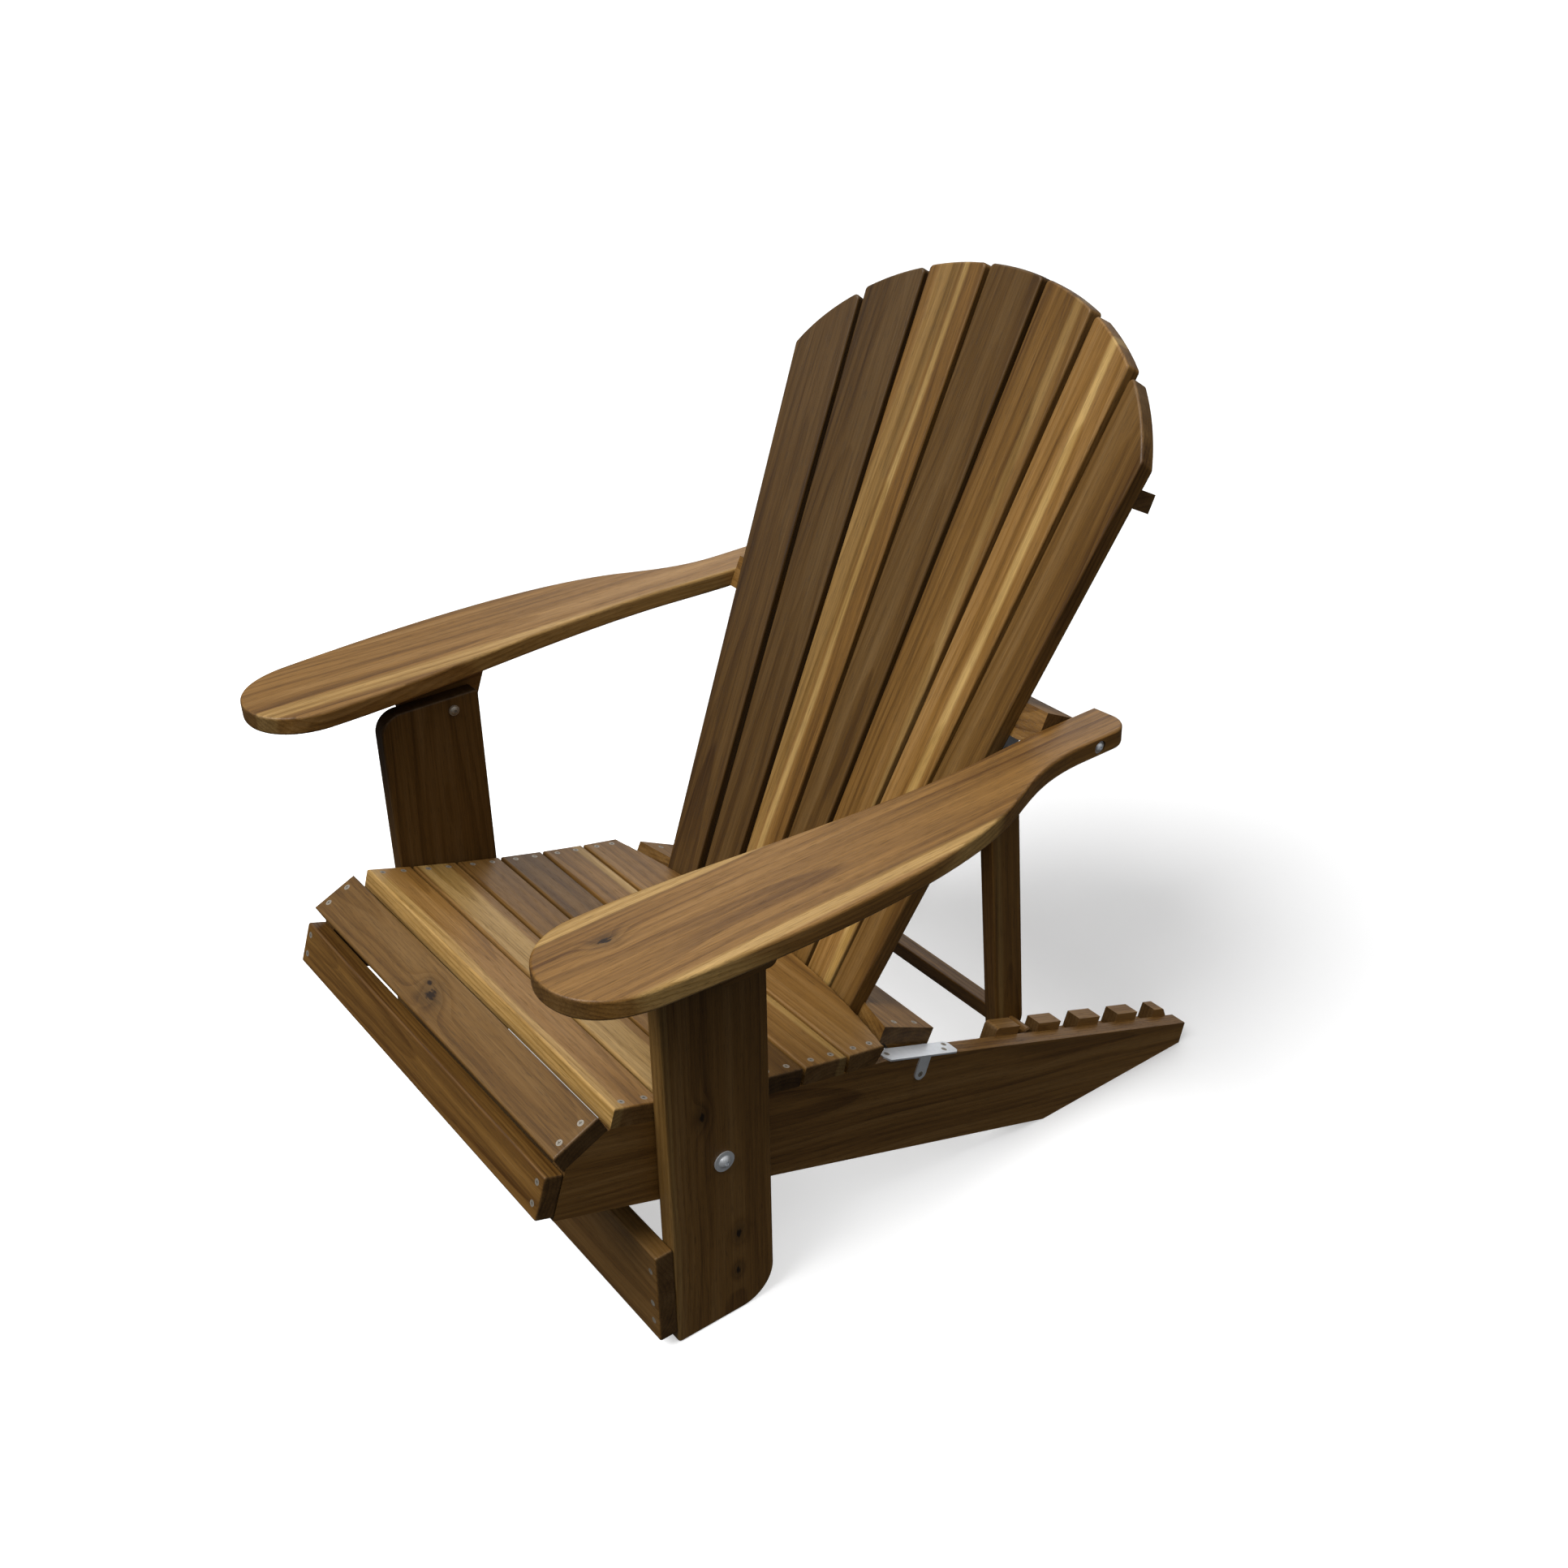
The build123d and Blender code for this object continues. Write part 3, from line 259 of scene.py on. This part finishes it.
def wood_group():
    """Oiled hardwood in a board's own axes: x along the grain, y across the face, z through it."""
    tree, g, given, result = new_group(
        "oiled_wood",
        [("Place", "Vector"), ("Face", "Vector"), ("Seed", "Float"), ("Pith", "Vector"),
         ("Tone", "Float"), ("Band 1", "Vector"), ("Band 2", "Vector"),
         ("Knot 1", "Vector"), ("Knot 2", "Vector"), ("Knot 3", "Vector")],
        [("Color", "Color"), ("Roughness", "Float"), ("Height", "Float")])
    x, y, z = g.parts(given["Place"])
    shift = g.join(*(g.times(given["Seed"], step) for step in SEED_STEPS))
    place = g.add("VectorMath", {0: given["Place"], 1: shift}, operation="ADD")
    _, wander_y, wander_z = g.parts(g.noise(place, WANDER_CELLS, out=1))
    wave = g.math("SUBTRACT", wander_y, 0.5)

    swirl, core, halo = add_knots(g, given, x, y, place)
    late, ring_tone = add_rings(g, given, x, y, z, wave, wander_z, swirl)
    fibre = g.noise(place, FIBRE_CELLS, detail=3.0, rough=0.6)
    streak = g.noise(place, STREAK_CELLS, detail=4.0, rough=0.62)
    broad = g.noise(place, BROAD_CELLS)
    pores = g.step(g.noise(place, PORE_CELLS, detail=1.0), *PORE_EDGE)

    tone = g.weighted((streak, 1.15), (broad, 0.75), (ring_tone, 0.12), (late, -0.16), (fibre, 0.25))
    heart = g.ramp(g.times(tone, 0.5), (0.36, HEART_DARK), (0.55, HEART_BROWN), (0.86, HEART_TAN))
    sap_tone = g.weighted((streak, 0.9), (fibre, 0.35), (late, -0.25))
    sap = g.ramp(sap_tone, (0.25, SAP_DEEP), (0.85, SAP_PALE))
    sapwood = add_sapwood(g, given, y, wave, streak)
    colour = g.scaled(g.mix(sapwood, heart, sap), given["Tone"])
    colour = g.scaled(colour, g.total(0.65, g.times(fibre, 0.70)))
    colour = g.darken_where(colour, pores, 0.30)
    colour = g.darken_where(colour, halo, 0.35)
    colour = g.mix(core, colour, KNOT_CORE)
    face_x, _, _ = g.parts(given["Face"])
    end_grain = g.step(g.math("ABSOLUTE", face_x), *END_GRAIN_EDGE)
    colour = g.darken_where(colour, end_grain, 0.42)

    rough = g.total(WOOD_ROUGH, g.times(fibre, 0.14), g.times(pores, 0.12), g.times(end_grain, 0.16))
    height = g.weighted((fibre, 0.6), (pores, -0.5), (late, 0.25), (core, -0.6))
    for label, socket in (("Color", colour), ("Roughness", rough), ("Height", height)):
        tree.links.new(socket, result.inputs[label])
    return tree


def board_axes(node):
    """A board's middle and its axes: along the grain, across its face and through it."""
    mesh = frame["nodes"][node].data
    mesh.calc_loop_triangles()
    points = np.array([vertex.co[:] for vertex in mesh.vertices])
    corners = points[np.array([triangle.vertices[:] for triangle in mesh.loop_triangles])]
    areas = np.array([triangle.area for triangle in mesh.loop_triangles])
    middles = corners.mean(axis=1)
    middle = np.average(middles, axis=0, weights=areas)
    away = middles - middle
    spread = (away * areas[:, None]).T @ away
    _, vectors = np.linalg.eigh(spread)
    axes = []
    for axis in (vectors[:, 2], vectors[:, 1], vectors[:, 0]):
        axes.append(axis * np.sign(axis[np.argmax(np.abs(axis))]))
    low, high = points.min(axis=0), points.max(axis=0)
    return Vector((low + high) / 2), [Vector(axis) for axis in axes]


def in_board_axes(g, vector, axes):
    """A vector's parts along a board's axes."""
    dots = [g.add("VectorMath", {0: vector, 1: axis[:]}, out=1, operation="DOT_PRODUCT")
            for axis in axes]
    return g.join(*dots)


OILED_WOOD = wood_group()
PLAIN_BOARD = {"tone": 1.0, "pith": (0.0, 0.010, -0.060), "bands": (), "knots": ()}


def wood_material(node, seed, tone, pith, bands, knots):
    """One board's wood."""
    material = bpy.data.materials.new("wood_" + node)
    material.use_nodes = True
    tree = material.node_tree
    g = Graph(tree)
    shader = tree.nodes["Principled BSDF"]
    middle, axes = board_axes(node)
    spot = tree.nodes.new("ShaderNodeTexCoord")
    offset = g.add("VectorMath", {0: spot.outputs["Object"], 1: middle[:]}, operation="SUBTRACT")
    wood = tree.nodes.new("ShaderNodeGroup")
    wood.node_tree = OILED_WOOD
    tree.links.new(in_board_axes(g, offset, axes), wood.inputs["Place"])
    tree.links.new(in_board_axes(g, spot.outputs["Normal"], axes), wood.inputs["Face"])
    wood.inputs["Seed"].default_value = seed
    wood.inputs["Tone"].default_value = tone
    wood.inputs["Pith"].default_value = pith
    for number, band in enumerate(bands, 1):
        wood.inputs[f"Band {number}"].default_value = band
    for number, knot in enumerate(knots, 1):
        wood.inputs[f"Knot {number}"].default_value = knot
    tree.links.new(wood.outputs["Color"], shader.inputs["Base Color"])
    tree.links.new(wood.outputs["Roughness"], shader.inputs["Roughness"])
    bump = g.add("Bump", {"Strength": 0.45, "Distance": WOOD_BUMP, "Height": wood.outputs["Height"]})
    tree.links.new(bump, shader.inputs["Normal"])
    shader.inputs["Specular IOR Level"].default_value = 0.32
    return material


def zinc_material(name, colours, rough):
    """Zinc plate with faint blotches and fine scratches."""
    material = bpy.data.materials.new(name)
    material.use_nodes = True
    tree = material.node_tree
    g = Graph(tree)
    shader = tree.nodes["Principled BSDF"]
    spot = tree.nodes.new("ShaderNodeTexCoord").outputs["Object"]
    blotch = g.noise(spot, BLOTCH_CELLS, detail=3.0)
    scratch = g.noise(spot, SCRATCH_CELLS)
    colour = g.mix(blotch, *colours)
    tree.links.new(colour, shader.inputs["Base Color"])
    tree.links.new(g.total(rough, g.times(blotch, 0.20), g.times(scratch, 0.10)),
                   shader.inputs["Roughness"])
    bump = g.add("Bump", {"Strength": 0.2, "Distance": ZINC_BUMP, "Height": scratch})
    tree.links.new(bump, shader.inputs["Normal"])
    shader.inputs["Metallic"].default_value = 0.5
    return material


# ---------------------------------------------------------------- each board's own look
# tone: how light the board is
# bands: (middle, half width, strength) of pale sapwood across the face, the first two in metres
# knots: (along, across, radius) from the middle of the board, in metres
LOOKS = {
    "seat_slat_1": {"tone": 0.66, "knots": ((-0.02, -0.004, 0.0065), (-0.035, 0.004, 0.003))},
    "seat_slat_2": {"tone": 1.18, "bands": ((-0.022, 0.008, 0.7),)},
    "seat_slat_3": {"tone": 0.90, "bands": ((-0.004, 0.020, 0.8),)},
    "seat_slat_4": {"tone": 0.78},
    "seat_slat_5": {"tone": 0.60},
    "seat_slat_6": {"tone": 0.95, "bands": ((0.020, 0.006, 0.9),)},
    "seat_slat_7": {"tone": 0.98},
    "front_apron": {"tone": 0.86},
    "back_slat_1": {"tone": 0.44},
    "back_slat_2": {"tone": 0.41},
    "back_slat_3": {"tone": 0.96, "bands": ((-0.010, 0.014, 0.35), (0.012, 0.004, 0.9))},
    "back_slat_4": {"tone": 0.50},
    "back_slat_5": {"tone": 0.88, "bands": ((0.016, 0.006, 0.45),)},
    "back_slat_6": {"tone": 1.14, "bands": ((0.005, 0.006, 0.95),)},
    "back_slat_7": {"tone": 0.72},
    "arm_left": {"tone": 1.12, "bands": ((-0.066, 0.007, 0.7), (0.056, 0.007, 0.7)),
                 "knots": ((-0.27, -0.03, 0.0045),)},
    "arm_right": {"tone": 1.04, "bands": ((0.050, 0.012, 0.5),)},
    "front_leg_left": {"tone": 0.82, "bands": ((-0.058, 0.005, 0.3),),
                       "knots": ((-0.14, 0.02, 0.0038), (-0.19, 0.018, 0.0035), (0.03, -0.02, 0.004))},
    # the right front leg's low tone is partly painted shade: the whole leg is darkened so that its
    # faces turned towards +X look as dark as their shade
    "front_leg_right": {"tone": 0.48},
    "stringer_left": {"tone": 0.95, "bands": ((0.120, 0.006, 0.4),)},
    "stringer_right": {"tone": 0.90},
    "leg_cross_board": {"tone": 0.75},
    "prop_left": {"tone": 0.90, "bands": ((-0.010, 0.004, 0.4),)},
    "prop_right": {"tone": 0.90},
}


def dress_chair():
    """Gives every CAD node its material."""
    slots = {entry["node"]: entry["material_slot"] for entry in frame["record"]["subparts"]}
    bright = zinc_material("bright_zinc", BRIGHT_ZINC, BRIGHT_ROUGH)
    dull = zinc_material("dull_zinc", DULL_ZINC, DULL_ROUGH)
    for number, (node, piece) in enumerate(sorted(frame["nodes"].items())):
        if slots[node] == "zinc_steel":
            material = dull if "screws" in node or "arm_pivot" in node else bright
        else:
            look = {**PLAIN_BOARD, **LOOKS.get(node, {})}
            material = wood_material(node, FIRST_SEED + SEED_GAP * number, **look)
        piece.data.materials.clear()
        piece.data.materials.append(material)


def make_stage_piece(name, points, faces, colour):
    """Matt, glowing piece of the set whose glow doesn't light the chair, and its shader."""
    mesh = bpy.data.meshes.new(name)
    mesh.from_pydata(points, [], faces)
    piece = bpy.data.objects.new(name, mesh)
    bpy.context.scene.collection.objects.link(piece)
    piece.visible_diffuse = False
    piece.visible_glossy = False
    material = bpy.data.materials.new(name + "_white")
    material.use_nodes = True
    material.cycles.emission_sampling = "NONE"
    mesh.materials.append(material)
    shader = material.node_tree.nodes["Principled BSDF"]
    shader.inputs["Base Color"].default_value = colour
    shader.inputs["Specular IOR Level"].default_value = 0.0
    shader.inputs["Emission Color"].default_value = WHITE
    return piece, shader


def make_floor():
    """Broad pale floor that catches the shadow, with a glow that is stronger in front."""
    reach = FLOOR_REACH
    corners = [(-reach, -reach, 0.0), (reach, -reach, 0.0), (reach, reach, 0.0), (-reach, reach, 0.0)]
    _, shader = make_stage_piece("floor", corners, [(0, 1, 2, 3)], FLOOR)
    shader.inputs["Roughness"].default_value = FLOOR_ROUGH
    tree = shader.id_data
    g = Graph(tree)
    _, depth, _ = g.parts(tree.nodes.new("ShaderNodeTexCoord").outputs["Object"])
    front = g.fall(depth, GLOW_FALL_FROM, GLOW_FALL_TO)
    glow = g.total(GLOW_REAR, g.times(front, GLOW_FRONT - GLOW_REAR))
    tree.links.new(glow, shader.inputs["Emission Strength"])


def make_backdrop():
    """White wall far round the chair, which only the camera sees."""
    sides = BACKDROP_SIDES
    angles = [math.tau * side / sides for side in range(sides)]
    ring = [(BACKDROP_FAR * math.sin(angle), BACKDROP_FAR * math.cos(angle)) for angle in angles]
    points = [(x, y, z) for z in BACKDROP_HEIGHTS for x, y in ring]
    faces = [(k, (k + 1) % sides, sides + (k + 1) % sides, sides + k) for k in range(sides)]
    wall, shader = make_stage_piece("backdrop", points, faces, BLACK)
    shader.inputs["Emission Strength"].default_value = BACKDROP_GLOW
    wall.visible_shadow = False


def add_sun(name, from_where, strength, spread, gloss):
    """Sun lamp shining from a direction; gloss says whether surfaces mirror it."""
    lamp = bpy.data.lights.new(name, "SUN")
    lamp.energy = strength
    lamp.angle = spread
    sun = bpy.data.objects.new(name, lamp)
    sun.rotation_euler = (-from_where).to_track_quat("-Z", "Y").to_euler()
    sun.visible_glossy = gloss
    bpy.context.scene.collection.objects.link(sun)


def make_lights():
    """Key from the front, soft fill from the rear, bright sky, and a rear box that adds gloss."""
    add_sun("key", KEY_FROM, KEY_STRENGTH, KEY_SPREAD, True)
    add_sun("fill", FILL_FROM, FILL_STRENGTH, FILL_SPREAD, False)
    lamp = bpy.data.lights.new("rear_box", "AREA")
    lamp.size = REAR_BOX_SIZE
    lamp.energy = REAR_BOX_POWER
    box = bpy.data.objects.new("rear_box", lamp)
    box.location = REAR_BOX_AT
    box.rotation_euler = (-REAR_BOX_AT).to_track_quat("-Z", "Y").to_euler()
    box.visible_diffuse = False
    bpy.context.scene.collection.objects.link(box)
    world = bpy.data.worlds.new("studio")
    bpy.context.scene.world = world
    world.use_nodes = True
    tree = world.node_tree
    g = Graph(tree)
    direction = tree.nodes.new("ShaderNodeTexCoord").outputs["Generated"]
    _, _, height = g.parts(direction)
    high = g.step(height, SKY_RISES_FROM, SKY_RISES_TO)
    bright = g.total(SKY_LOW, g.times(high, SKY_RISE))
    background = tree.nodes["Background"]
    tree.links.new(g.join(bright, bright, bright), background.inputs["Color"])


def make_camera():
    """Camera at the viewing place, from its azimuth, elevation and roll."""
    back = Vector((math.sin(AZIMUTH) * math.cos(ELEVATION),
                   -math.cos(AZIMUTH) * math.cos(ELEVATION), math.sin(ELEVATION)))
    level = (-back).cross(Vector((0, 0, 1))).normalized()
    over = level.cross(-back)
    right = level * math.cos(ROLL) + over * math.sin(ROLL)
    up = over * math.cos(ROLL) - level * math.sin(ROLL)
    lens = bpy.data.cameras.new("view")
    lens.lens = LENS
    lens.sensor_width = SENSOR
    lens.clip_end = SEES_TO
    camera = bpy.data.objects.new("view", lens)
    turn = Matrix((right, up, back)).transposed().to_4x4()
    camera.matrix_world = Matrix.Translation(CAMERA_AT) @ turn
    bpy.context.scene.collection.objects.link(camera)
    bpy.context.scene.camera = camera


bpy.context.scene.view_settings.view_transform = "Standard"
dress_chair()
make_floor()
make_backdrop()
make_lights()
make_camera()
